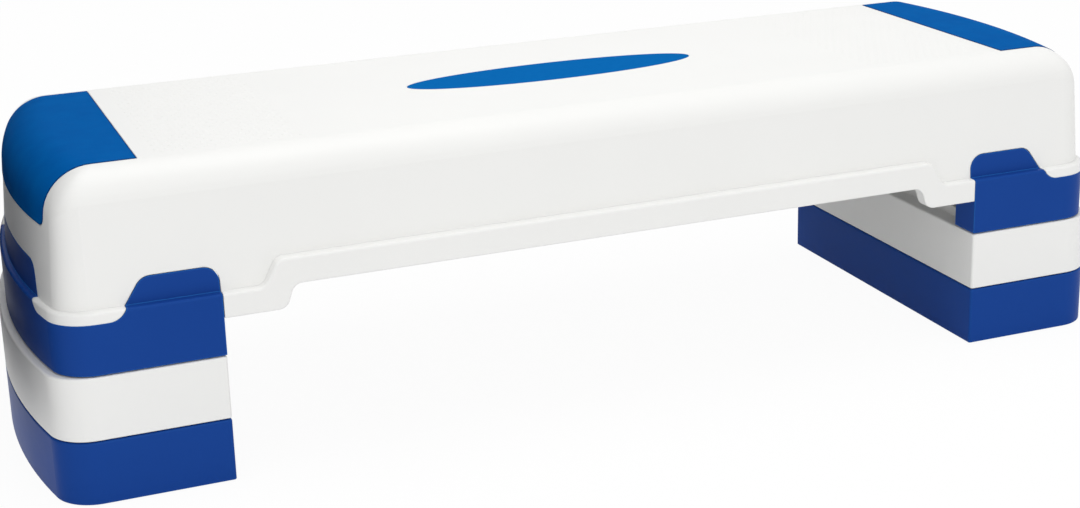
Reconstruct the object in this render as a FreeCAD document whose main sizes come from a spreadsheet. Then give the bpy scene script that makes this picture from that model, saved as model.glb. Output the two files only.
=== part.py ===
import FreeCAD, Part
import math
import os
import Sketcher

# Aerobic step platform: a moulded deck on two stacks of leg, middle riser and lower riser.
# Millimetres. The origin is on the floor under the deck's centre, X along the length,
# the front faces -Y, Z up. Left is at -X.

doc = FreeCAD.newDocument("aerobic_step")
Vector = FreeCAD.Vector

# Driving sizes
SIZES = {
    "step_width": 305.0,
    "step_length": 933.0,
    "leg_setback": 6.0,
    "module_length": 143.5,
    "level_pitch": 50.0,
    "bow_radius": 580.0,
    "corner_radius": 32.0,
    "riser_wall": 3.0,
    "ledge_thickness": 3.0,
    "spigot_wall": 3.0,
    "spigot_height": 8.0,
    "spigot_clearance": 4.0,
    "rim_rounding": 1.5,
    "inner_corner_rounding": 2.0,
    "foot_edge_rounding": 0.8,
    "rib_thickness": 3.0,
    "rib_spacing": 26.0,
    "return_depth": 28.0,
    "foot_radius": 5.5,
    "foot_clearance": 0.5,
    "rim_clearance": 1.5,
    "foot_thickness": 2.0,
    "foot_proud": 1.0,
    "foot_rounding": 0.6,
    "foot_end_inset": 50.5,
    "boss_margin": 1.0,
    "stem_radius": 2.4,
    "stem_length": 8.0,
    "stem_clearance": 0.1,
    "leg_height": 40.0,
    "deck_height": 108.0,
    "deck_taper": 4.0,
    "deck_wall": 4.0,
    "lip_step": 7.5,
    "lip_end_step": 4.5,
    "lip_height": 8.5,
    "lip_mid_height": 20.5,
    "lip_drop": 10.0,
    "lip_rounding": 9.0,
    "lip_edge_rounding": 2.0,
    "lip_reach": 47.5,
    "lip_slope_run": 6.0,
    "lip_top_shift": 16.0,
    "lip_top_slope_run": 11.5,
    "side_rounding": 25.0,
    "end_rounding": 36.0,
    "tab_height": 28.0,
    "end_tab_height": 33.5,
    "tab_top_length": 56.0,
    "tab_slope_run": 19.0,
    "end_tab_inset": 64.0,
    "end_tab_slope_run": 11.0,
    "tab_rounding": 12.0,
    "tab_foot_rounding": 14.0,
    "tab_clearance": 0.5,
    "pad_length": 90.5,
    "pad_inset": 38.5,
    "pad_thickness": 1.6,
    "pad_proud": 0.4,
    "pad_drop": 42.0,
    "pad_rounding": 8.0,
    "pad_clearance": 0.6,
    "oval_half_length": 127.5,
    "oval_half_width": 30.5,
    "oval_thickness": 0.8,
    "oval_clearance": 0.3,
    "deck_rib_thickness": 2.5,
    "deck_rib_depth": 26.0,
    "deck_rib_spacing": 88.0,
}
DECK_CROSS_RIBS = 9
DECK_LONG_RIBS = 3
RISER_RIBS = 3
# Tools for cuts reach this far past what they cut, and joined solids run this far into each other.
OVERRUN = 10.0
BITE = 1.0
# Points and lengths closer than this count as equal.
TOLERANCE = 1e-3

sheet = doc.addObject("Spreadsheet::Sheet", "Sizes")
for row, (alias, number) in enumerate(SIZES.items(), start=1):
    sheet.set(f"A{row}", alias.replace("_", " "))
    sheet.set(f"B{row}", str(number))
    sheet.setAlias(f"B{row}", alias)
doc.recompute()


def value(text):
    """The number that an expression over the sheet's cells gives."""
    return float(sheet.evalExpression(text))


# Heights and places that several pieces share, as expressions over the sheet
HALF_WIDTH = "Sizes.step_width / 2"
RISER_END = "(Sizes.step_length / 2)"
LEG_END = "(Sizes.step_length / 2 - Sizes.leg_setback)"
INNER = "(Sizes.step_length / 2 - Sizes.module_length)"
SEAT = "(2 * Sizes.level_pitch + Sizes.leg_height)"
LIP_LINE = f"({SEAT} + Sizes.lip_height)"
TOP = f"({SEAT} + Sizes.deck_height)"
FRONT_VIEW = FreeCAD.Rotation(Vector(1, 0, 0), 90)
END_VIEW = FreeCAD.Rotation(0.5, 0.5, 0.5, 0.5)
UPRIGHT = FreeCAD.Rotation()


# Sketch helpers
def constrain(sketch, kind, *where, text=None):
    """Adds one constraint, and binds its size to an expression where it has one."""
    if text is None:
        return sketch.addConstraint(Sketcher.Constraint(kind, *where))
    index = sketch.addConstraint(Sketcher.Constraint(kind, *where, value(text)))
    sketch.setExpression(f"Constraints[{index}]", text)
    return index


def locate(sketch, edge, point, kind, text):
    """Fixes one coordinate of a point, on whichever side of the sketch's origin it lies."""
    if abs(value(text)) < TOLERANCE:
        constrain(sketch, "PointOnObject", edge, point, -2 if kind == "DistanceX" else -1)
    elif value(text) > 0:
        constrain(sketch, kind, -1, 1, edge, point, text=text)
    else:
        constrain(sketch, kind, edge, point, -1, 1, text=f"-({text})")


def arc(x, y, radius, start, end):
    return Part.ArcOfCircle(Part.Circle(Vector(x, y, 0), Vector(0, 0, 1), radius), start, end)


def segment(start, end):
    return Part.LineSegment(Vector(*start, 0), Vector(*end, 0))


def join_tangent(sketch, edges):
    for edge, following in edges:
        constrain(sketch, "Tangent", edge, 2, following, 1)


def bowed_corner(apex, half_width, bow, corner):
    """Where the corner arc's centre lies, and the angle at which it meets the bowed end."""
    bow_x = apex - bow
    corner_x = bow_x + math.sqrt((bow - corner) ** 2 - (half_width - corner) ** 2)
    angle = math.atan2(half_width - corner, corner_x - bow_x)
    return bow_x, corner_x, angle


def set_apex(sketch, bow_edge, apex, side):
    """Pins the middle of a bowed end, at the given distance from the origin along X."""
    point = sketch.addGeometry(Part.Point(Vector(side * value(apex), 0, 0)), True)
    constrain(sketch, "PointOnObject", point, 1, bow_edge)
    constrain(sketch, "PointOnObject", point, 1, -1)
    ends = (-1, 1, point, 1) if side > 0 else (point, 1, -1, 1)
    constrain(sketch, "DistanceX", *ends, text=apex)


def module_outline(sketch, outer_end, inset):
    """The right-hand leg or riser seen from above: straight inner side, bowed outer end."""
    apex = f"{outer_end} - {inset}"
    half_width = f"{HALF_WIDTH} - {inset}"
    inner = f"{INNER} + {inset}"
    bow = f"Sizes.bow_radius - {inset}"
    corner = f"Sizes.corner_radius - {inset}"
    side = value(half_width)
    inner_x = value(inner)
    radius = value(corner)
    bow_x, corner_x, angle = bowed_corner(value(apex), side, value(bow), radius)
    edges = sketch.addGeometry([
        segment((inner_x, side), (inner_x, -side)),
        segment((inner_x, -side), (corner_x, -side)),
        arc(corner_x, -side + radius, radius, -math.pi / 2, -angle),
        arc(bow_x, 0, value(bow), -angle, angle),
        arc(corner_x, side - radius, radius, angle, math.pi / 2),
        segment((corner_x, side), (inner_x, side)),
    ])
    inner_edge, front, front_corner, end, back_corner, back = edges
    constrain(sketch, "Coincident", inner_edge, 2, front, 1)
    constrain(sketch, "Coincident", back, 2, inner_edge, 1)
    join_tangent(sketch, list(zip(edges[1:], edges[2:])))
    constrain(sketch, "Horizontal", front)
    constrain(sketch, "Horizontal", back)
    constrain(sketch, "Symmetric", inner_edge, 1, inner_edge, 2, -1)
    constrain(sketch, "Equal", front_corner, back_corner)
    constrain(sketch, "Radius", front_corner, text=corner)
    constrain(sketch, "Radius", end, text=bow)
    constrain(sketch, "PointOnObject", end, 3, -1)
    locate(sketch, inner_edge, 1, "DistanceX", inner)
    locate(sketch, inner_edge, 1, "DistanceY", half_width)
    set_apex(sketch, end, apex, 1)


def deck_outline(sketch, inset, end_inset):
    """The whole deck seen from above, with both ends bowed. The ends are set in by an amount of their own."""
    apex = f"{LEG_END} - {end_inset}"
    half_width = f"{HALF_WIDTH} - {inset}"
    bow = f"Sizes.bow_radius - {inset}"
    corner = f"Sizes.corner_radius - {inset}"
    side = value(half_width)
    radius = value(corner)
    bow_x, corner_x, angle = bowed_corner(value(apex), side, value(bow), radius)
    edges = sketch.addGeometry([
        segment((-corner_x, -side), (corner_x, -side)),
        arc(corner_x, -side + radius, radius, -math.pi / 2, -angle),
        arc(bow_x, 0, value(bow), -angle, angle),
        arc(corner_x, side - radius, radius, angle, math.pi / 2),
        segment((corner_x, side), (-corner_x, side)),
        arc(-corner_x, side - radius, radius, math.pi / 2, math.pi - angle),
        arc(-bow_x, 0, value(bow), math.pi - angle, math.pi + angle),
        arc(-corner_x, -side + radius, radius, math.pi + angle, 1.5 * math.pi),
    ])
    front, front_right, right, back_right, back, back_left, left, front_left = edges
    join_tangent(sketch, list(zip(edges, edges[1:] + edges[:1])))
    constrain(sketch, "Horizontal", front)
    constrain(sketch, "Horizontal", back)
    for other in (back_right, back_left, front_left):
        constrain(sketch, "Equal", front_right, other)
    constrain(sketch, "Equal", right, left)
    constrain(sketch, "Radius", front_right, text=corner)
    constrain(sketch, "Radius", right, text=bow)
    constrain(sketch, "PointOnObject", right, 3, -1)
    constrain(sketch, "PointOnObject", left, 3, -1)
    locate(sketch, front, 1, "DistanceY", f"-({half_width})")
    locate(sketch, back, 1, "DistanceY", half_width)
    set_apex(sketch, right, apex, 1)
    set_apex(sketch, left, apex, -1)


def profile(sketch, corners):
    """A closed outline of straight edges. Each corner is x, y and its rounding, or None for a sharp one."""
    points = [Vector(value(x), value(y), 0) for x, y, _ in corners]
    count = len(corners)
    starts = list(points)
    stops = list(points)
    arcs = {}
    for i, (_, _, rounding) in enumerate(corners):
        if rounding is None:
            continue
        radius = value(rounding)
        before = (points[i - 1] - points[i]).normalize()
        after = (points[(i + 1) % count] - points[i]).normalize()
        half = before.getAngle(after) / 2
        stops[i] = points[i] + before * (radius / math.tan(half))
        starts[i] = points[i] + after * (radius / math.tan(half))
        middle = points[i] + (before + after).normalize() * (radius / math.sin(half))
        left_turn = after.cross(before).z > 0
        first, last = (stops[i], starts[i]) if left_turn else (starts[i], stops[i])
        start_angle = math.atan2(first.y - middle.y, first.x - middle.x)
        end_angle = math.atan2(last.y - middle.y, last.x - middle.x)
        arcs[i] = (arc(middle.x, middle.y, radius, start_angle, end_angle), left_turn)
    lines = [sketch.addGeometry(Part.LineSegment(starts[i], stops[(i + 1) % count])) for i in range(count)]
    for i, (x, y, rounding) in enumerate(corners):
        if rounding is None:
            constrain(sketch, "Coincident", lines[i - 1], 2, lines[i], 1)
            locate(sketch, lines[i], 1, "DistanceX", x)
            locate(sketch, lines[i], 1, "DistanceY", y)
            continue
        bend, left_turn = arcs[i]
        edge = sketch.addGeometry(bend)
        first, last = (1, 2) if left_turn else (2, 1)
        constrain(sketch, "Tangent", lines[i - 1], 2, edge, first)
        constrain(sketch, "Tangent", edge, last, lines[i], 1)
        constrain(sketch, "Radius", edge, text=rounding)
        corner = sketch.addGeometry(Part.Point(points[i]), True)
        constrain(sketch, "PointOnObject", corner, 1, lines[i - 1])
        constrain(sketch, "PointOnObject", corner, 1, lines[i])
        locate(sketch, corner, 1, "DistanceX", x)
        locate(sketch, corner, 1, "DistanceY", y)


def circle(sketch, x, y, radius):
    edge = sketch.addGeometry(Part.Circle(Vector(value(x), value(y), 0), Vector(0, 0, 1), value(radius)))
    constrain(sketch, "Radius", edge, text=radius)
    locate(sketch, edge, 3, "DistanceX", x)
    locate(sketch, edge, 3, "DistanceY", y)


# Helpers for solids made of extruded sketches
def free_sketch(name, rotation, offset_axis="z", offset="0"):
    sketch = doc.addObject("Sketcher::SketchObject", name)
    sketch.Placement = FreeCAD.Placement(Vector(), rotation)
    sketch.setExpression(f"Placement.Base.{offset_axis}", offset)
    return sketch


def extrude(sketch, length, taper=None, both_ways=False):
    solid = doc.addObject("Part::Extrusion", sketch.Name + "_solid")
    solid.Base = sketch
    solid.DirMode = "Normal"
    solid.Solid = True
    solid.Symmetric = both_ways
    solid.setExpression("LengthFwd", length)
    if taper is not None:
        solid.setExpression("TaperAngle", taper)
    return solid


def combine(kind, name, pieces):
    result = doc.addObject(kind, name)
    result.Shapes = pieces
    return result


def cut(name, base, tool):
    result = doc.addObject("Part::Cut", name)
    result.Base = base
    result.Tool = tool
    return result


def mirror(name, source):
    """The same form on the other side of the deck's middle."""
    result = doc.addObject("Part::Mirroring", name)
    result.Source = source
    result.Normal = Vector(1, 0, 0)
    return result


# Helpers for pieces made as one body
def body_sketch(body, name, height, role="XY_Plane"):
    """A sketch on one of the body's own planes, moved off it by a height."""
    plane = next(item for item in body.Origin.OriginFeatures if item.Role == role)
    sketch = body.newObject("Sketcher::SketchObject", name)
    sketch.AttachmentSupport = [(plane, "")]
    sketch.MapMode = "FlatFace"
    sketch.setExpression("AttachmentOffset.Base.z", height)
    return sketch


def pad(body, sketch, length):
    feature = body.newObject("PartDesign::Pad", sketch.Name + "_pad")
    feature.Profile = sketch
    feature.setExpression("Length", length)
    doc.recompute()
    return feature


def pocket_up(body, sketch, length):
    """Cuts upwards from the sketch, and makes sure that something was cut."""
    volume = body.Shape.Volume
    feature = body.newObject("PartDesign::Pocket", sketch.Name + "_pocket")
    feature.Profile = sketch
    feature.Reversed = True
    feature.setExpression("Length", length)
    doc.recompute()
    assert body.Shape.Volume < volume, f"{feature.Name} cut nothing"
    return feature


# Leg and riser modules. Their feet stand on the ledge below, between its outer edge and its raised rim.
FOOT_INSET = "(Sizes.riser_wall + Sizes.foot_clearance + Sizes.foot_radius)"
RIM_INSET = f"({FOOT_INSET} + Sizes.foot_radius + Sizes.rim_clearance)"
LEDGE_WIDTH = f"({RIM_INSET} + Sizes.spigot_wall)"
INNER_FEET = f"({INNER} + {FOOT_INSET})"
OUTER_FEET = f"({RISER_END} - Sizes.foot_end_inset)"
FOOT_PLACES = {
    "front_inner": (INNER_FEET, -1),
    "front_outer": (OUTER_FEET, -1),
    "back_inner": (INNER_FEET, 1),
    "back_outer": (OUTER_FEET, 1),
}


def foot_place(place):
    along, side = FOOT_PLACES[place]
    return along, f"{side} * ({HALF_WIDTH} - {FOOT_INSET})"


def make_module(name, outer_end, height, rounded):
    """A hollow moulding with a seat ledge round its top, bosses for its feet and ribs under the ledge."""
    body = doc.addObject("PartDesign::Body", name)
    ledge_underside = f"{height} - Sizes.ledge_thickness"

    outer = body_sketch(body, name + "_outline", "Sizes.foot_proud")
    module_outline(outer, outer_end, "0")
    pad(body, outer, f"{height} - Sizes.foot_proud")
    top = value(height) - TOLERANCE
    bottom = value("Sizes.foot_proud") + TOLERANCE
    inside = value(INNER) + TOLERANCE
    if rounded:
        corners = [box.XMax < inside and box.ZLength > TOLERANCE for box in edge_boxes(body)]
        round_edges(body, name + "_inner_corners", "Sizes.inner_corner_rounding", corners)
        round_edges(body, name + "_rim", "Sizes.rim_rounding", [box.ZMin > top for box in edge_boxes(body)])
    foot_edge = [box.ZMax < bottom for box in edge_boxes(body)]
    round_edges(body, name + "_foot_edge", "Sizes.foot_edge_rounding", foot_edge)

    cavity = body_sketch(body, name + "_cavity", "0")
    module_outline(cavity, outer_end, "Sizes.riser_wall")
    pocket_up(body, cavity, ledge_underside)

    well = body_sketch(body, name + "_well", "0")
    module_outline(well, outer_end, LEDGE_WIDTH)
    pocket_up(body, well, f"{height} + {OVERRUN}")

    bosses = body_sketch(body, name + "_bosses", "Sizes.foot_thickness")
    for place in FOOT_PLACES:
        circle(bosses, *foot_place(place), "Sizes.foot_radius + Sizes.boss_margin")
    pad(body, bosses, f"{height} - Sizes.foot_thickness - Sizes.ledge_thickness / 2")

    ribs = body_sketch(body, name + "_ribs", "Sizes.spigot_height + Sizes.spigot_clearance")
    for side in (-1, 1):
        for i in range(RISER_RIBS):
            middle = f"({INNER_FEET} + {OUTER_FEET}) / 2 + {i - (RISER_RIBS - 1) / 2} * Sizes.rib_spacing"
            left = f"{middle} - Sizes.rib_thickness / 2"
            right = f"{middle} + Sizes.rib_thickness / 2"
            near = f"{side} * ({HALF_WIDTH} - Sizes.riser_wall / 2)"
            far = f"{side} * ({HALF_WIDTH} - {LEDGE_WIDTH})"
            profile(ribs, [(left, near, None), (right, near, None), (right, far, None), (left, far, None)])
    rib_length = f"{height} - Sizes.ledge_thickness / 2 - Sizes.spigot_height - Sizes.spigot_clearance"
    pad(body, ribs, rib_length)

    holes = body_sketch(body, name + "_foot_holes", "Sizes.foot_thickness")
    for place in FOOT_PLACES:
        circle(holes, *foot_place(place), "Sizes.stem_radius + Sizes.stem_clearance")
    pocket_up(body, holes, "Sizes.stem_length + Sizes.stem_clearance")
    return body


def edge_boxes(body):
    return [edge.BoundBox for edge in body.Shape.Edges]


def round_edges(body, name, radius, chosen):
    """Rounds the chosen edges of a module while it is still a plain block."""
    block = body.Tip
    edges = [f"Edge{i}" for i, wanted in enumerate(chosen, start=1) if wanted]
    rounding = body.newObject("PartDesign::Fillet", name)
    rounding.Base = (block, edges)
    rounding.setExpression("Radius", radius)
    doc.recompute()


def add_spigot(body, name):
    """The rim on a riser's ledge that locates the module standing on it."""
    ring = body_sketch(body, name + "_spigot", "Sizes.level_pitch - Sizes.ledge_thickness")
    module_outline(ring, RISER_END, RIM_INSET)
    module_outline(ring, RISER_END, LEDGE_WIDTH)
    pad(body, ring, "Sizes.ledge_thickness + Sizes.spigot_height")


def place_on_side(piece, side, height):
    """Stands a right-hand piece at its height. The left one is the same moulding turned half round."""
    turn = FreeCAD.Rotation(Vector(0, 0, 1), 180 if side == "left" else 0)
    piece.Placement = FreeCAD.Placement(Vector(), turn)
    piece.setExpression("Placement.Base.z", height)


# Deck blocks: the deck's smooth upper form, whole, at several depths under its surface
def deck_block(name, depth):
    """A tapered block with a rounded top, set in by a depth from the deck's outer surface."""
    sketch = free_sketch(name + "_outline", UPRIGHT, "z", LIP_LINE)
    deck_outline(sketch, f"(Sizes.lip_step + {depth})", f"(Sizes.lip_end_step + {depth})")
    block = extrude(sketch, f"{TOP} - {LIP_LINE} - {depth}", taper="-Sizes.deck_taper")
    doc.recompute()
    rounded = doc.addObject("Part::Fillet", name)
    rounded.Base = block
    rounded.Edges = top_roundings(block.Shape, value(depth))
    return rounded


def top_roundings(shape, depth):
    """Radii for the top's edges: one along the sides, one at the ends, blending round the corners."""
    side = value("Sizes.side_rounding") - depth
    end = value("Sizes.end_rounding") - depth
    height = shape.BoundBox.ZMax
    width = max(vertex.Y for vertex in shape.Vertexes if abs(vertex.Z - height) < TOLERANCE)
    edges = []
    for i, edge in enumerate(shape.Edges, start=1):
        if edge.BoundBox.ZMin < height - TOLERANCE:
            continue
        ends = [edge.valueAt(edge.FirstParameter), edge.valueAt(edge.LastParameter)]
        radii = [side if abs(abs(point.y) - width) < TOLERANCE else end for point in ends]
        edges.append((i, *radii))
    return edges


surface_block = deck_block("surface_block", "0")
pad_block = deck_block("pad_block", "(-Sizes.pad_proud)")
floor_block = deck_block("floor_block", "Sizes.pad_thickness")
core_block = deck_block("core_block", "Sizes.deck_wall")
upper_shell = cut("upper_shell", surface_block, core_block)

# Lip: a ring under the shell, trimmed in front view to its stepped band
ring_sketch = free_sketch("lip_ring", UPRIGHT, "z", f"{SEAT} - Sizes.lip_drop")
deck_outline(ring_sketch, "0", "0")
deck_outline(ring_sketch, "(Sizes.lip_step + Sizes.deck_wall)", "(Sizes.lip_end_step + Sizes.deck_wall)")
lip_ring = extrude(ring_sketch, "Sizes.lip_drop + Sizes.lip_height + Sizes.lip_mid_height")

BAND_END = f"({LEG_END} + {OVERRUN})"
LIP_FOOT = f"({INNER} - Sizes.lip_reach)"
LIP_MIDDLE = f"({LIP_FOOT} - Sizes.lip_slope_run)"
LIP_LOW = f"{SEAT} - Sizes.lip_drop"
LIP_HIGH = f"{LIP_LINE} + Sizes.lip_mid_height"
band_half = [
    (INNER, SEAT, None),
    (INNER, LIP_LOW, None),
    (LIP_FOOT, LIP_LOW, "Sizes.lip_rounding"),
    (LIP_MIDDLE, LIP_LINE, "Sizes.lip_rounding"),
]
LIP_TOP_FOOT = f"({LIP_FOOT} + Sizes.lip_top_shift)"
top_half = [
    (f"({LIP_TOP_FOOT} - Sizes.lip_top_slope_run)", LIP_HIGH, "Sizes.lip_rounding"),
    (LIP_TOP_FOOT, LIP_LINE, "Sizes.lip_rounding"),
]


def mirrored(corners):
    return [(f"-{x}", y, rounding) for x, y, rounding in corners]


band_sketch = free_sketch("lip_band", FRONT_VIEW)
profile(
    band_sketch,
    [(f"-{BAND_END}", SEAT, None)] + mirrored(band_half) + band_half[::-1] + [(BAND_END, SEAT, None)]
    + [(BAND_END, LIP_LINE, None)] + top_half[::-1] + mirrored(top_half)
    + [(f"-{BAND_END}", LIP_LINE, None)],
)
lip_band = extrude(band_sketch, f"Sizes.step_width + 2 * {OVERRUN}", both_ways=True)
sharp_lip = combine("Part::MultiCommon", "sharp_lip", [lip_ring, lip_band])
doc.recompute()


def lip_top_edges(shape):
    """The edges that run round the lip's outer face at the top of its band."""
    outer_radii = (value("Sizes.corner_radius"), value("Sizes.bow_radius"))
    radius = value("Sizes.lip_edge_rounding")
    edges = []
    for i, edge in enumerate(shape.Edges, start=1):
        middle = edge.valueAt((edge.FirstParameter + edge.LastParameter) / 2)
        if isinstance(edge.Curve, Part.Circle) and abs(edge.Curve.Axis.z) > TOLERANCE:
            outside = min(abs(edge.Curve.Radius - outer) for outer in outer_radii) < TOLERANCE
        else:
            outside = abs(abs(middle.y) - value(HALF_WIDTH)) < TOLERANCE
        above = middle.z > value(LIP_LINE) + TOLERANCE
        level = abs(middle.z - value(LIP_LINE)) < TOLERANCE and abs(middle.x) > value(LIP_MIDDLE)
        if outside and (above or level) and edge.BoundBox.ZMin > value(LIP_LINE) - TOLERANCE:
            edges.append((i, radius, radius))
    return edges


lip = doc.addObject("Part::Fillet", "lip")
lip.Base = sharp_lip
lip.Edges = lip_top_edges(sharp_lip.Shape)
skirt = combine("Part::MultiFuse", "skirt", [upper_shell, lip])


# Tabs of the leg, and the slightly larger openings for them in the skirt
def tab_prisms(name, clearance, depth):
    """The right-hand leg's front and end tabs, grown by a clearance, from a depth below the seat."""
    bottom = f"{SEAT} - {depth}"
    top = f"{SEAT} + Sizes.tab_height + {clearance}"
    shoulder = f"{INNER} + Sizes.tab_top_length + {clearance}"
    inner = f"{INNER} - {clearance}"
    reach = f"{INNER} + Sizes.tab_top_length + 2 * Sizes.tab_slope_run + 2 * Sizes.tab_foot_rounding"
    front = free_sketch(name + "_front", FRONT_VIEW)
    profile(front, [
        (inner, bottom, None),
        (reach, bottom, None),
        (reach, SEAT, None),
        (f"{shoulder} + Sizes.tab_slope_run", SEAT, f"Sizes.tab_foot_rounding - {clearance}"),
        (shoulder, top, f"Sizes.tab_rounding + {clearance}"),
        (inner, top, f"Sizes.tab_rounding + {clearance}"),
    ])
    front_prism = extrude(front, f"Sizes.step_width + 2 * {OVERRUN}", both_ways=True)

    half = f"({HALF_WIDTH} - Sizes.end_tab_inset + {clearance})"
    foot = f"({half} + Sizes.end_tab_slope_run)"
    end_reach = f"({foot} + 2 * Sizes.tab_foot_rounding)"
    end_top = f"{SEAT} + Sizes.end_tab_height + {clearance}"
    half_profile = [
        (end_reach, bottom, None),
        (end_reach, SEAT, None),
        (foot, SEAT, f"Sizes.tab_foot_rounding - {clearance}"),
        (half, end_top, f"Sizes.tab_rounding + {clearance}"),
    ]
    end = free_sketch(name + "_end", END_VIEW, "x", f"{LEG_END} - 2 * Sizes.corner_radius")
    profile(end, half_profile + mirrored(half_profile)[::-1])
    end_prism = extrude(end, f"2 * Sizes.corner_radius + {OVERRUN}")
    return combine("Part::MultiFuse", name, [front_prism, end_prism])


tab_tool = tab_prisms("tab_tool", "0", BITE)
opening_tool = tab_prisms("opening_tool", "Sizes.tab_clearance", f"(Sizes.lip_drop + {OVERRUN})")
left_opening_tool = mirror("left_opening_tool", opening_tool)


# Grip pads over the deck's ends, a little proud of the recesses that they lie in
def pad_prism(name, clearance):
    """The right-hand pad's outline from the end, swept along X from its inner edge."""
    half = f"({HALF_WIDTH} - Sizes.pad_inset + {clearance})"
    low = f"{TOP} - Sizes.pad_drop - {clearance}"
    high = f"{TOP} + {OVERRUN}"
    rounding = f"Sizes.pad_rounding + {clearance}"
    sketch = free_sketch(name + "_outline", END_VIEW, "x", f"{LEG_END} - Sizes.pad_length - {clearance}")
    edge = [(half, low, rounding), (half, high, None)]
    profile(sketch, edge + mirrored(edge)[::-1])
    return extrude(sketch, f"Sizes.pad_length + {OVERRUN}")


pad_layer = cut("pad_layer", pad_block, floor_block)
pad_tool = pad_prism("pad_tool", "0")
right_grip_pad = combine("Part::MultiCommon", "right_grip_pad", [pad_layer, pad_tool])
recess_tool = pad_prism("recess_tool", "Sizes.pad_clearance")
recess = combine("Part::MultiCommon", "recess", [pad_layer, recess_tool])
left_recess = mirror("left_recess", recess)
left_grip_pad = mirror("left_grip_pad", right_grip_pad)


# Oval inlay in the middle of the deck, and its recess
def oval(name, clearance, height):
    ellipse = doc.addObject("Part::Ellipse", name + "_outline")
    ellipse.setExpression("MajorRadius", f"Sizes.oval_half_length + {clearance}")
    ellipse.setExpression("MinorRadius", f"Sizes.oval_half_width + {clearance}")
    ellipse.setExpression("Placement.Base.z", f"{TOP} - Sizes.oval_thickness")
    disc = doc.addObject("Part::Extrusion", name)
    disc.Base = ellipse
    disc.DirMode = "Custom"
    disc.Dir = Vector(0, 0, 1)
    disc.Solid = True
    disc.setExpression("LengthFwd", height)
    return disc


oval_inlay = oval("oval_inlay", "0", "Sizes.oval_thickness")
oval_recess = oval("oval_recess", "Sizes.oval_clearance", f"Sizes.oval_thickness + {OVERRUN}")


# Ribs under the deck's top
def deck_rib(name, x_size, y_size, x_middle, y_middle):
    rib = doc.addObject("Part::Box", name)
    rib.setExpression("Length", x_size)
    rib.setExpression("Width", y_size)
    rib.setExpression("Height", f"Sizes.deck_rib_depth + {BITE}")
    rib.setExpression("Placement.Base.x", f"{x_middle} - ({x_size}) / 2")
    rib.setExpression("Placement.Base.y", f"{y_middle} - ({y_size}) / 2")
    rib.setExpression("Placement.Base.z", f"{TOP} - Sizes.deck_wall - Sizes.deck_rib_depth")
    return rib


rib_boxes = []
for i in range(DECK_CROSS_RIBS):
    along = f"({i - (DECK_CROSS_RIBS - 1) / 2} * Sizes.deck_rib_spacing)"
    rib_boxes.append(deck_rib(f"cross_rib_{i}", "Sizes.deck_rib_thickness", "Sizes.step_width", along, "0"))
for i in range(DECK_LONG_RIBS):
    across = f"({i - (DECK_LONG_RIBS - 1) / 2} * Sizes.deck_rib_spacing)"
    rib_boxes.append(deck_rib(f"long_rib_{i}", f"2 * {LEG_END}", "Sizes.deck_rib_thickness", "0", across))
rib_grid = combine("Part::MultiFuse", "rib_grid", rib_boxes)
ribs = combine("Part::MultiCommon", "ribs", [rib_grid, floor_block])

# Deck
deck = combine("Part::MultiFuse", "ribbed_skirt", [skirt, ribs])
for tool in (opening_tool, left_opening_tool, recess, left_recess, oval_recess):
    deck = cut("deck_less_" + tool.Name, deck, tool)
deck.Label = "deck"

# Legs: a module open towards the middle, joined to its tabs
LEG_BASE = "2 * Sizes.level_pitch"
leg_shell = make_module("leg_shell", LEG_END, "Sizes.leg_height", rounded=False)
place_on_side(leg_shell, "right", LEG_BASE)
inner_opening = doc.addObject("Part::Box", "inner_opening")
inner_opening.setExpression("Length", f"{LEDGE_WIDTH} + {OVERRUN} + {BITE}")
inner_opening.setExpression("Width", "Sizes.step_width - 2 * Sizes.return_depth")
inner_opening.setExpression("Height", f"Sizes.leg_height + 2 * {OVERRUN}")
inner_opening.setExpression("Placement.Base.x", f"{INNER} - {OVERRUN}")
inner_opening.setExpression("Placement.Base.y", f"Sizes.return_depth - {HALF_WIDTH}")
inner_opening.setExpression("Placement.Base.z", f"{LEG_BASE} - {OVERRUN}")
open_leg = cut("open_leg", leg_shell, inner_opening)
tabs = combine("Part::MultiCommon", "tabs", [skirt, tab_tool])
right_leg = combine("Part::MultiFuse", "right_leg", [open_leg, tabs])
left_leg = mirror("left_leg", right_leg)
pieces = [deck, oval_inlay, left_grip_pad, right_grip_pad, left_leg, right_leg]

# Risers: the same moulding four times
for side in ("left", "right"):
    for level, height in (("lower", "0"), ("middle", "Sizes.level_pitch")):
        name = f"{side}_{level}_riser"
        riser = make_module(name, RISER_END, "Sizes.level_pitch", rounded=True)
        add_spigot(riser, name)
        place_on_side(riser, side, height)
        pieces.append(riser)


# Rubber feet: a flat head under each boss, with a stem pushed into it
def make_foot(name):
    body = doc.addObject("PartDesign::Body", name)
    sketch = body_sketch(body, name + "_profile", "0", "XZ_Plane")
    stem_top = "Sizes.foot_thickness + Sizes.stem_length"
    profile(sketch, [
        ("0", "0", None),
        ("Sizes.foot_radius", "0", "Sizes.foot_rounding"),
        ("Sizes.foot_radius", "Sizes.foot_thickness", None),
        ("Sizes.stem_radius", "Sizes.foot_thickness", None),
        ("Sizes.stem_radius", stem_top, None),
        ("0", stem_top, None),
    ])
    turned = body.newObject("PartDesign::Revolution", name + "_turned")
    turned.Profile = sketch
    turned.ReferenceAxis = (sketch, ["V_Axis"])
    turned.Angle = 360
    return body


for side, sign in (("left", -1), ("right", 1)):
    for level, height in (("lower", "0"), ("middle", "Sizes.level_pitch"), ("leg", LEG_BASE)):
        for place in FOOT_PLACES:
            foot = make_foot(f"{side}_{level}_foot_{place}")
            along, across = foot_place(place)
            foot.setExpression("Placement.Base.x", f"{sign} * ({along})")
            foot.setExpression("Placement.Base.y", across)
            foot.setExpression("Placement.Base.z", height)
            pieces.append(foot)

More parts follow.
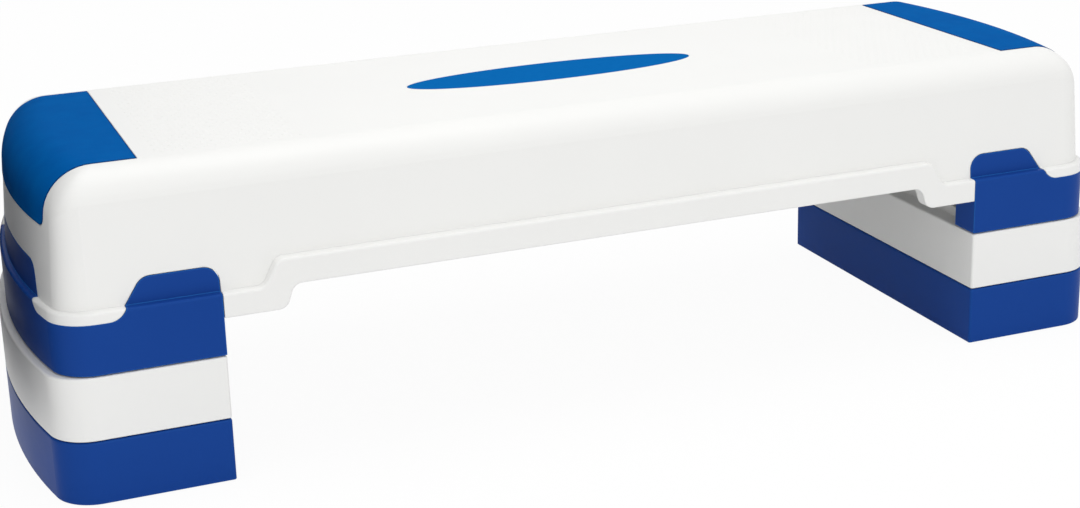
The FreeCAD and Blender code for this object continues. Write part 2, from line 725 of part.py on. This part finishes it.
# Check and write
doc.recompute()
for item in doc.Objects:
    assert "Invalid" not in item.State and "Error" not in item.State, f"{item.Name} failed: {item.State}"
for piece in pieces:
    shape = piece.Shape
    assert not shape.isNull() and shape.isValid(), f"{piece.Label} has no sound shape"
    assert len(shape.Solids) == 1, f"{piece.Label} is {len(shape.Solids)} solids"

os.makedirs("parts", exist_ok=True)
for piece in pieces:
    piece.Shape.exportStep(f"parts/{piece.Label}.step")
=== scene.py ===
import math
import bpy
from mathutils import Matrix, Vector


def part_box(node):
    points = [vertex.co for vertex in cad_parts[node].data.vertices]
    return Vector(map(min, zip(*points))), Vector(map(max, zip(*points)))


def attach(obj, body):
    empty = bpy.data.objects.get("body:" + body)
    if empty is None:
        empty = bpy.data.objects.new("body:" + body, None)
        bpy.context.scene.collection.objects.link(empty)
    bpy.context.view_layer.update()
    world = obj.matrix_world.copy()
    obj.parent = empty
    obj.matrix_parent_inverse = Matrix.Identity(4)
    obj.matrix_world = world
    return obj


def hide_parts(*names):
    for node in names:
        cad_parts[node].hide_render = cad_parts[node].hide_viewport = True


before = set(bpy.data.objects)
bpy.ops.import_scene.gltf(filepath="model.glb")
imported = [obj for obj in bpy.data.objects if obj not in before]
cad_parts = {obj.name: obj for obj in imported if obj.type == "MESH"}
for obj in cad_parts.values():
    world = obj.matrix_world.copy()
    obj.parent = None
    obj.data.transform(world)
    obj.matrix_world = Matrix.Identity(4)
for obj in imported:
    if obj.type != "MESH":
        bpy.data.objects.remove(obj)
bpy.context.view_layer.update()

# Rubber feet: 24 small buttons of black thermoplastic rubber. Each is pushed by its stem into a boss
# under a leg or riser, so that every level stands on the one below without sliding.
MM = 0.001
RIM_WIDTH = 1.6 * MM
RIM_TURN = (0.995, 0.9)
RIM_SHADE_SHARE = 0.9
GRAIN_DEPTH = 0.2 * MM
GRAIN_STRENGTH = 0.35
ROUGHNESS_SPREAD = 0.06
RUBBER_SHINE = 0.01


def linear(code):
    """Linear RGBA of an sRGB hex colour."""
    channels = [int(code[i:i + 2], 16) / 255 for i in (1, 3, 5)]
    return [c / 12.92 if c <= 0.04045 else ((c + 0.055) / 1.055) ** 2.4 for c in channels] + [1.0]


def add_node(owner, kind, inputs=(), **settings):
    """Adds one shader node: its own settings, and for its inputs plain values or other nodes' outputs."""
    made = owner.node_tree.nodes.new(kind)
    for name, setting in settings.items():
        setattr(made, name, setting)
    for name, source in dict(inputs).items():
        if isinstance(source, bpy.types.NodeSocket):
            owner.node_tree.links.new(source, made.inputs[name])
        else:
            made.inputs[name].default_value = source
    return made


def empty_material(name):
    """A material with no nodes yet."""
    material = bpy.data.materials.new(name)
    material.use_nodes = True
    material.node_tree.nodes.clear()
    return material


def soften_edges(material, radius, turn, share):
    """The surface's normal with its edges rounded, and a mask, from 0 on a face to share on an edge.
    The mask starts and ends where the cosine between that normal and the face's own is turn."""
    rounded = add_node(material, "ShaderNodeBevel", {"Radius": radius}, samples=4).outputs["Normal"]
    face = add_node(material, "ShaderNodeNewGeometry").outputs["Normal"]
    turned = add_node(material, "ShaderNodeVectorMath", {0: rounded, 1: face}, operation="DOT_PRODUCT")
    mask = add_node(material, "ShaderNodeMapRange", {
        "Value": turned.outputs["Value"], "From Min": turn[0], "From Max": turn[1], "To Max": share})
    return rounded, mask.outputs["Result"]


def moulded_rubber(name, colour, pale_colour, rim_shade_colour, blotch_mm, grain_mm, roughness):
    """Thermoplastic rubber from a spark-eroded mould: matt, finely grained and a little blotchy in colour.
    Along its rim it is darkened with painted shade, for the shade that falls in the groove round it."""
    material = empty_material(name)
    place = add_node(material, "ShaderNodeTexCoord").outputs["Object"]
    blotches = add_node(material, "ShaderNodeTexNoise", {
        "Vector": place, "Scale": 1 / (blotch_mm * MM), "Detail": 3.0})
    tint = add_node(material, "ShaderNodeMix", {
        "Factor": blotches.outputs["Fac"], 6: linear(colour), 7: linear(pale_colour)}, data_type="RGBA")
    # Painted shade: the colour darkens along the rim, where the groove round the rubber lies in shade.
    painted_rim_shade = soften_edges(material, RIM_WIDTH, RIM_TURN, RIM_SHADE_SHARE)[1]
    rim_shaded_tint = add_node(material, "ShaderNodeMix", {
        "Factor": painted_rim_shade, 6: tint.outputs[2], 7: linear(rim_shade_colour)}, data_type="RGBA")
    grain = add_node(material, "ShaderNodeTexNoise", {
        "Vector": place, "Scale": 1 / (grain_mm * MM), "Detail": 3.0})
    relief = add_node(material, "ShaderNodeBump", {
        "Height": grain.outputs["Fac"], "Strength": GRAIN_STRENGTH, "Distance": GRAIN_DEPTH})
    matt = add_node(material, "ShaderNodeMapRange", {
        "Value": grain.outputs["Fac"],
        "To Min": roughness - ROUGHNESS_SPREAD, "To Max": roughness + ROUGHNESS_SPREAD})
    shader = add_node(material, "ShaderNodeBsdfPrincipled", {
        "Base Color": rim_shaded_tint.outputs[2], "Roughness": matt.outputs["Result"],
        "Specular IOR Level": RUBBER_SHINE, "Normal": relief.outputs["Normal"]})
    add_node(material, "ShaderNodeOutputMaterial", {"Surface": shader.outputs[0]})
    return material


def dress(nodes, material):
    """Gives pieces that stay as they were built their material."""
    for name in nodes:
        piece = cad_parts[name]
        piece.data.materials.clear()
        piece.data.materials.append(material)


# The grain of a foot is finer than a pixel, so it is drawn at 1.5 mm.
# The rim colour here is painted shade along the foot's edges.
black_rubber = moulded_rubber(
    "black_moulded_rubber", colour="#1D1E20", pale_colour="#27282B", rim_shade_colour="#121314",
    blotch_mm=12, grain_mm=1.5, roughness=0.75)
dress([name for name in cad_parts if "_foot_" in name], black_rubber)

# Risers: hollow blocks injection moulded in polypropylene, a blue pair on the floor and a white pair above.
# Each raises the step by one level, and a rim on its ledge locates whatever stands on it.
SIDES = ("left", "right")
CLOUD_SIZE = 90 * MM
FLOW_SIZE = 35 * MM
PEEL_SIZE = 3 * MM
PEEL_DEPTH = 0.1 * MM
PEEL_STRENGTH = 0.08
SATIN_ROUGHNESS = (0.33, 0.43)
POLYPROPYLENE_IOR = 1.49
EDGE_RADIUS = 1.3 * MM
EDGE_TURN = (0.995, 0.88)
EDGE_HIGHLIGHT_SHARE = 0.9


def moulded_polypropylene(name, colour, cloud_colour, edge_highlight_colour, shine):
    """Polypropylene from a polished mould: satin and faintly cloudy, its skin slightly uneven like orange
    peel, here drawn coarser than it is. The edges leave the mould slightly rounded, and a painted highlight
    makes them paler, standing in for the light that catches them."""
    material = empty_material(name)
    place = add_node(material, "ShaderNodeTexCoord").outputs["Object"]
    clouds = add_node(material, "ShaderNodeTexNoise", {
        "Vector": place, "Scale": 1 / CLOUD_SIZE, "Detail": 2.0})
    tint = add_node(material, "ShaderNodeMix", {
        "Factor": clouds.outputs["Fac"], 6: linear(colour), 7: linear(cloud_colour)}, data_type="RGBA")
    # Painted highlight: the colour turns paler along the edges, where they would catch the light.
    rounded, painted_edge_highlight = soften_edges(material, EDGE_RADIUS, EDGE_TURN, EDGE_HIGHLIGHT_SHARE)
    edge_highlighted_tint = add_node(material, "ShaderNodeMix", {
        "Factor": painted_edge_highlight, 6: tint.outputs[2], 7: linear(edge_highlight_colour)}, data_type="RGBA")
    flow = add_node(material, "ShaderNodeTexNoise", {
        "Vector": place, "Scale": 1 / FLOW_SIZE, "Detail": 3.0})
    gloss = add_node(material, "ShaderNodeMapRange", {
        "Value": flow.outputs["Fac"], "To Min": SATIN_ROUGHNESS[0], "To Max": SATIN_ROUGHNESS[1]})
    peel = add_node(material, "ShaderNodeTexNoise", {
        "Vector": place, "Scale": 1 / PEEL_SIZE, "Detail": 2.0})
    skin = add_node(material, "ShaderNodeBump", {
        "Height": peel.outputs["Fac"], "Strength": PEEL_STRENGTH, "Distance": PEEL_DEPTH,
        "Normal": rounded})
    shader = add_node(material, "ShaderNodeBsdfPrincipled", {
        "Base Color": edge_highlighted_tint.outputs[2], "Roughness": gloss.outputs["Result"], "IOR": POLYPROPYLENE_IOR,
        "Specular IOR Level": shine, "Normal": skin.outputs["Normal"]})
    add_node(material, "ShaderNodeOutputMaterial", {"Surface": shader.outputs[0]})
    return material


# Each edge colour is a painted highlight, paler than its plastic.
blue_polypropylene = moulded_polypropylene(
    "blue_moulded_polypropylene", colour="#174190", cloud_colour="#1B4797",
    edge_highlight_colour="#2F7CD0", shine=0.04)
white_polypropylene = moulded_polypropylene(
    "white_moulded_polypropylene", colour="#F1F1EF", cloud_colour="#F4F4F2",
    edge_highlight_colour="#FAFAF9", shine=0.22)
dress([f"{side}_lower_riser" for side in SIDES], blue_polypropylene)
dress([f"{side}_middle_riser" for side in SIDES], white_polypropylene)

# Legs: hollow mouldings of the same blue polypropylene, which carry the deck. Their tabs stand up in the
# openings of the deck's foot, over a ledge that takes the line of the deck's lip on across them.
dress([f"{side}_leg" for side in SIDES], blue_polypropylene)

# Deck: one long hollow shell of white polypropylene, ribbed underneath, with a stepped lip round its foot.
# Beside each pad the mould leaves a field of low pips, so that a shoe finds some hold on the bare plastic.
PIP_PITCH = 8.0 * MM
PIP_ROW_PITCH = PIP_PITCH * math.sqrt(3) / 2
PIP_RADIUS = 1.8 * MM
PIP_HEIGHT = 0.2 * MM
PIP_FIELD_REACH = (245 * MM, 360 * MM)
PIP_FIELD_HALF_WIDTH = 104 * MM
PIP_ROUNDING = 0.02 * MM
PIP_SEGMENTS = 12
dress(["deck"], white_polypropylene)
deck_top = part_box("oval_inlay")[1][2]

# The rings of a pip, from its foot up, as shares of its radius and height.
PIP_RINGS = ((1.0, -0.2), (0.95, 0.25), (0.7, 0.75), (0.35, 0.96))

# A pip is thinner than the rounding of the other edges, so its own is finer.
pip_polypropylene = white_polypropylene.copy()
pip_polypropylene.name = "white_moulded_polypropylene_pips"
pip_polypropylene.node_tree.nodes["Bevel"].inputs["Radius"].default_value = PIP_ROUNDING


def add_pip(points, faces, x, y):
    """A low dome, closed by a flat foot just inside the deck."""
    first = len(points)
    for reach, rise in PIP_RINGS:
        for i in range(PIP_SEGMENTS):
            turn = 2 * math.pi * i / PIP_SEGMENTS
            place = (x + PIP_RADIUS * reach * math.cos(turn), y + PIP_RADIUS * reach * math.sin(turn))
            points.append((*place, deck_top + PIP_HEIGHT * rise))
    points.append((x, y, deck_top + PIP_HEIGHT))
    faces.append(tuple(first + i for i in reversed(range(PIP_SEGMENTS))))
    for ring in range(len(PIP_RINGS)):
        low = first + ring * PIP_SEGMENTS
        for i in range(PIP_SEGMENTS):
            after = (i + 1) % PIP_SEGMENTS
            if ring + 1 < len(PIP_RINGS):
                faces.append((low + i, low + after, low + PIP_SEGMENTS + after, low + PIP_SEGMENTS + i))
            else:
                faces.append((low + i, low + after, len(points) - 1))


def add_mesh(name, points, faces, material):
    """Puts a mesh of one material in the scene, smooth but for its faces of more than four corners."""
    mesh = bpy.data.meshes.new(name)
    mesh.from_pydata(points, [], faces)
    mesh.polygons.foreach_set("use_smooth", [len(face) <= 4 for face in faces])
    mesh.materials.append(material)
    made = bpy.data.objects.new(name, mesh)
    bpy.context.scene.collection.objects.link(made)
    return made


pip_rows = round(2 * PIP_FIELD_HALF_WIDTH / PIP_ROW_PITCH)
pip_columns = round((PIP_FIELD_REACH[1] - PIP_FIELD_REACH[0]) / PIP_PITCH)
for side, sign in zip(SIDES, (-1, 1)):
    points, faces = [], []
    for row in range(pip_rows + 1):
        for column in range(pip_columns):
            x = PIP_FIELD_REACH[0] + (column + 0.5 * (row % 2)) * PIP_PITCH
            add_pip(points, faces, sign * x, (row - pip_rows / 2) * PIP_ROW_PITCH)
    pips = add_mesh(f"{side}_pips", points, faces, pip_polypropylene)
    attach(pips, "deck")

# Grip pads: sheets of blue thermoplastic rubber moulded to the bend of the deck's ends. Each is glued into
# a recess, and stands a little proud of it with its edges rounded over.
PAD_BOW = 572.5 * MM
PAD_BOW_HEIGHT = 148.5 * MM
PAD_BEND = 36 * MM
PAD_TAPER = math.radians(4)
PAD_PROUD = 0.4 * MM
PAD_THICKNESS = 2.0 * MM
PAD_CORNER = 8 * MM
PAD_EDGE = 0.7 * MM
PAD_EDGE_ANGLE = math.radians(50)
PAD_EDGE_SEGMENTS = 3
PAD_COLUMNS = 96
PAD_FLAT_ROWS = 16
PAD_BEND_ROWS = 24
PAD_WALL_ROWS = 6

# The end wall is bowed across the deck, to PAD_BOW at the height PAD_BOW_HEIGHT, and leans in by PAD_TAPER
# above that. The flat top turns down into it round PAD_BEND.
pad_low, pad_high = (Vector(corner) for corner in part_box("right_grip_pad"))
bow = PAD_BOW + PAD_PROUD
bow_middle = pad_high.x - bow + (pad_low.z - PAD_BOW_HEIGHT) * math.tan(PAD_TAPER)
bend = PAD_BEND + PAD_PROUD
bend_height = pad_high.z - bend
bend_reach = bow - (bend + (bend_height - PAD_BOW_HEIGHT) * math.sin(PAD_TAPER)) / math.cos(PAD_TAPER)
wall_top = bend_height + bend * math.sin(PAD_TAPER)


def pad_line(y):
    """Points down the pad at one place across the deck: the flat, the bend and the end wall."""
    flat_end = bow_middle + math.sqrt(bend_reach ** 2 - y ** 2)
    line = []
    for i in range(PAD_FLAT_ROWS):
        line.append((pad_low.x + (flat_end - pad_low.x) * i / PAD_FLAT_ROWS, y, pad_high.z))
    for i in range(PAD_BEND_ROWS):
        turn = math.pi / 2 + (PAD_TAPER - math.pi / 2) * i / PAD_BEND_ROWS
        reach = bend_reach + bend * math.cos(turn)
        line.append((bow_middle + math.sqrt(reach ** 2 - y ** 2), y, bend_height + bend * math.sin(turn)))
    beyond = min(1.0, max(0.0, abs(y) - (pad_high.y - PAD_CORNER)) / PAD_CORNER)
    foot = pad_low.z + PAD_CORNER * (1 - math.sqrt(1 - beyond ** 2))
    for i in range(PAD_WALL_ROWS + 1):
        z = wall_top + (foot - wall_top) * i / PAD_WALL_ROWS
        reach = bow - (z - PAD_BOW_HEIGHT) * math.tan(PAD_TAPER)
        line.append((bow_middle + math.sqrt(reach ** 2 - y ** 2), y, z))
    return line


# The rubber's bloom gives soft patches about 20 mm across, and its grain is drawn at 1.6 mm to show at all.
# Its rim colour is painted shade along the pad's edges.
blue_rubber = moulded_rubber(
    "blue_moulded_rubber", colour="#0054A0", pale_colour="#0062AE", rim_shade_colour="#02204F",
    blotch_mm=20, grain_mm=1.6, roughness=0.75)
pad_lines = []
for column in range(PAD_COLUMNS + 1):
    pad_lines.append(pad_line(pad_high.y * math.sin(math.pi / 2 * (2 * column / PAD_COLUMNS - 1))))
pad_rows = len(pad_lines[0])
for side, sign in zip(SIDES, (-1, 1)):
    points = [(sign * x, y, z) for line in pad_lines for x, y, z in line]
    faces = []
    for column in range(PAD_COLUMNS):
        for row in range(pad_rows - 1):
            corner = column * pad_rows + row
            face = (corner, corner + 1, corner + pad_rows + 1, corner + pad_rows)
            faces.append(face if sign > 0 else face[::-1])
    pad = add_mesh(f"{side}_pad_sheet", points, faces, blue_rubber)
    solid = pad.modifiers.new("thickness", "SOLIDIFY")
    solid.thickness = PAD_THICKNESS
    solid.offset = -1
    edge = pad.modifiers.new("rounded_edge", "BEVEL")
    edge.limit_method = "ANGLE"
    edge.angle_limit = PAD_EDGE_ANGLE
    edge.width = PAD_EDGE
    edge.segments = PAD_EDGE_SEGMENTS
    edge.harden_normals = True
    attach(pad, "deck")
    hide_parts(f"{side}_grip_pad")

# Oval inlay: a plain oval of polyester film, screen printed in blue and glued into the deck, flush with its
# top. The ink looks even and matt, with a faint mottle and the slight waves of the glue under the film.
MOTTLE_SIZE = 5 * MM
INK_ROUGHNESS = (0.45, 0.55)
WAVE_SIZE = 18 * MM
WAVE_DEPTH = 0.2 * MM
WAVE_STRENGTH = 0.1
blue_film = empty_material("blue_screen_printed_film")
place = add_node(blue_film, "ShaderNodeTexCoord").outputs["Object"]
mottle = add_node(blue_film, "ShaderNodeTexNoise", {
    "Vector": place, "Scale": 1 / MOTTLE_SIZE, "Detail": 4.0})
ink = add_node(blue_film, "ShaderNodeMix", {
    "Factor": mottle.outputs["Fac"], 6: linear("#0A63AD"), 7: linear("#0F6BB5")}, data_type="RGBA")
matt = add_node(blue_film, "ShaderNodeMapRange", {
    "Value": mottle.outputs["Fac"], "To Min": INK_ROUGHNESS[0], "To Max": INK_ROUGHNESS[1]})
waves = add_node(blue_film, "ShaderNodeTexNoise", {"Vector": place, "Scale": 1 / WAVE_SIZE, "Detail": 1.0})
skin = add_node(blue_film, "ShaderNodeBump", {
    "Height": waves.outputs["Fac"], "Strength": WAVE_STRENGTH, "Distance": WAVE_DEPTH})
shader = add_node(blue_film, "ShaderNodeBsdfPrincipled", {
    "Base Color": ink.outputs[2], "Roughness": matt.outputs["Result"], "Specular IOR Level": 0.0,
    "Normal": skin.outputs["Normal"]})
add_node(blue_film, "ShaderNodeOutputMaterial", {"Surface": shader.outputs[0]})
dress(["oval_inlay"], blue_film)

# Floor: a sheet of white paper that runs on beyond the picture. The camera sees it as white with the
# step's soft shadow on it, while the light that it throws back on to the step stays that of plain paper.
FLOOR_HALF = 12.0
SHADOW_SHARE = 0.05


def showing_rays(owner):
    """1 for rays that show a thing to the eye, straight, mirrored or through glass, and 0 for its light."""
    rays = add_node(owner, "ShaderNodeLightPath").outputs
    direct = add_node(owner, "ShaderNodeMath", {
        0: rays["Is Camera Ray"], 1: rays["Is Glossy Ray"]}, operation="MAXIMUM")
    every = add_node(owner, "ShaderNodeMath", {
        0: direct.outputs[0], 1: rays["Is Transmission Ray"]}, operation="MAXIMUM")
    return every.outputs[0]


paper = empty_material("white_paper")
dull = add_node(paper, "ShaderNodeBsdfDiffuse", {"Color": linear("#F8F8F8")})
white = add_node(paper, "ShaderNodeEmission", {"Color": linear("#FFFFFF"), "Strength": 1.0})
lit = add_node(paper, "ShaderNodeBsdfDiffuse", {"Color": linear("#FFFFFF")})
shown = add_node(paper, "ShaderNodeMixShader", {0: SHADOW_SHARE, 1: white.outputs[0], 2: lit.outputs[0]})
either = add_node(paper, "ShaderNodeMixShader", {
    0: showing_rays(paper), 1: dull.outputs[0], 2: shown.outputs[0]})
add_node(paper, "ShaderNodeOutputMaterial", {"Surface": either.outputs[0]})
floor_corners = [(FLOOR_HALF * x, FLOOR_HALF * y, 0) for x, y in ((-1, -1), (1, -1), (1, 1), (-1, 1))]
floor = add_mesh("floor", floor_corners, [(0, 1, 2, 3)], paper)

# Light: a wide softbox in front, one overhead, and an evenly white room. A grey card hangs close to the
# left end, unseen by the camera. It shades that end, but not the lower riser, which it hardly reaches.
AIM = Vector((0, 0, 0.15))
ROOM_LEVEL = 0.62
CARD_X = -0.5
CARD_Y = (-0.14, 1.1)
CARD_Z = (0.045, 0.5)


def softbox(name, place, width, height, power):
    """A wide soft lamp that faces the middle of the step."""
    lamp = bpy.data.lights.new(name, "AREA")
    lamp.shape = "RECTANGLE"
    lamp.size = width
    lamp.size_y = height
    lamp.energy = power
    holder = bpy.data.objects.new(name, lamp)
    holder.location = place
    holder.rotation_euler = (AIM - Vector(place)).to_track_quat("-Z", "Y").to_euler()
    bpy.context.scene.collection.objects.link(holder)


softbox("front_softbox", place=(-0.1, -3.0, 1.1), width=2.8, height=1.6, power=16)
softbox("top_softbox", place=(-0.2, -0.1, 2.6), width=2.4, height=1.6, power=27.5)
world = bpy.data.worlds.new("white_room")
bpy.context.scene.world = world
world.use_nodes = True
world.node_tree.nodes.clear()
level = add_node(world, "ShaderNodeMapRange", {
    "Value": showing_rays(world), "To Min": ROOM_LEVEL, "To Max": 1.0})
room = add_node(world, "ShaderNodeBackground", {"Color": linear("#FFFFFF"), "Strength": level.outputs[0]})
add_node(world, "ShaderNodeOutputWorld", {"Surface": room.outputs[0]})
grey_board = empty_material("grey_matt_board")
matt = add_node(grey_board, "ShaderNodeBsdfDiffuse", {"Color": linear("#9A9A9A")})
add_node(grey_board, "ShaderNodeOutputMaterial", {"Surface": matt.outputs[0]})
card_corners = [(CARD_X, CARD_Y[i], CARD_Z[j]) for i, j in ((0, 0), (1, 0), (1, 1), (0, 1))]
card = add_mesh("shade_card", card_corners, [(0, 1, 2, 3)], grey_board)
card.visible_camera = False

# Camera: a short telephoto that stands left of the step's middle and above it, and looks down and to the
# right. Its place comes from the step's own edges in the photograph.
EYE = Vector((-578.9, -1452.6, 613.1)) * MM
YAW, PITCH, ROLL = (math.radians(angle) for angle in (-21.264, 16.844, -1.598))
SENSOR_WIDTH = 36.0
FOCAL_LENGTH = 63.31
LENS_SHIFT = -0.0556
lens = bpy.data.cameras.new("camera")
lens.sensor_width = SENSOR_WIDTH
lens.lens = FOCAL_LENGTH
lens.shift_y = LENS_SHIFT
camera = bpy.data.objects.new("camera", lens)
facing = Matrix.Rotation(YAW, 4, "Z") @ Matrix.Rotation(math.pi / 2 - PITCH, 4, "X")
camera.matrix_world = Matrix.Translation(EYE) @ facing @ Matrix.Rotation(ROLL, 4, "Z")
bpy.context.scene.collection.objects.link(camera)
bpy.context.scene.camera = camera
bpy.context.scene.view_settings.view_transform = "Standard"
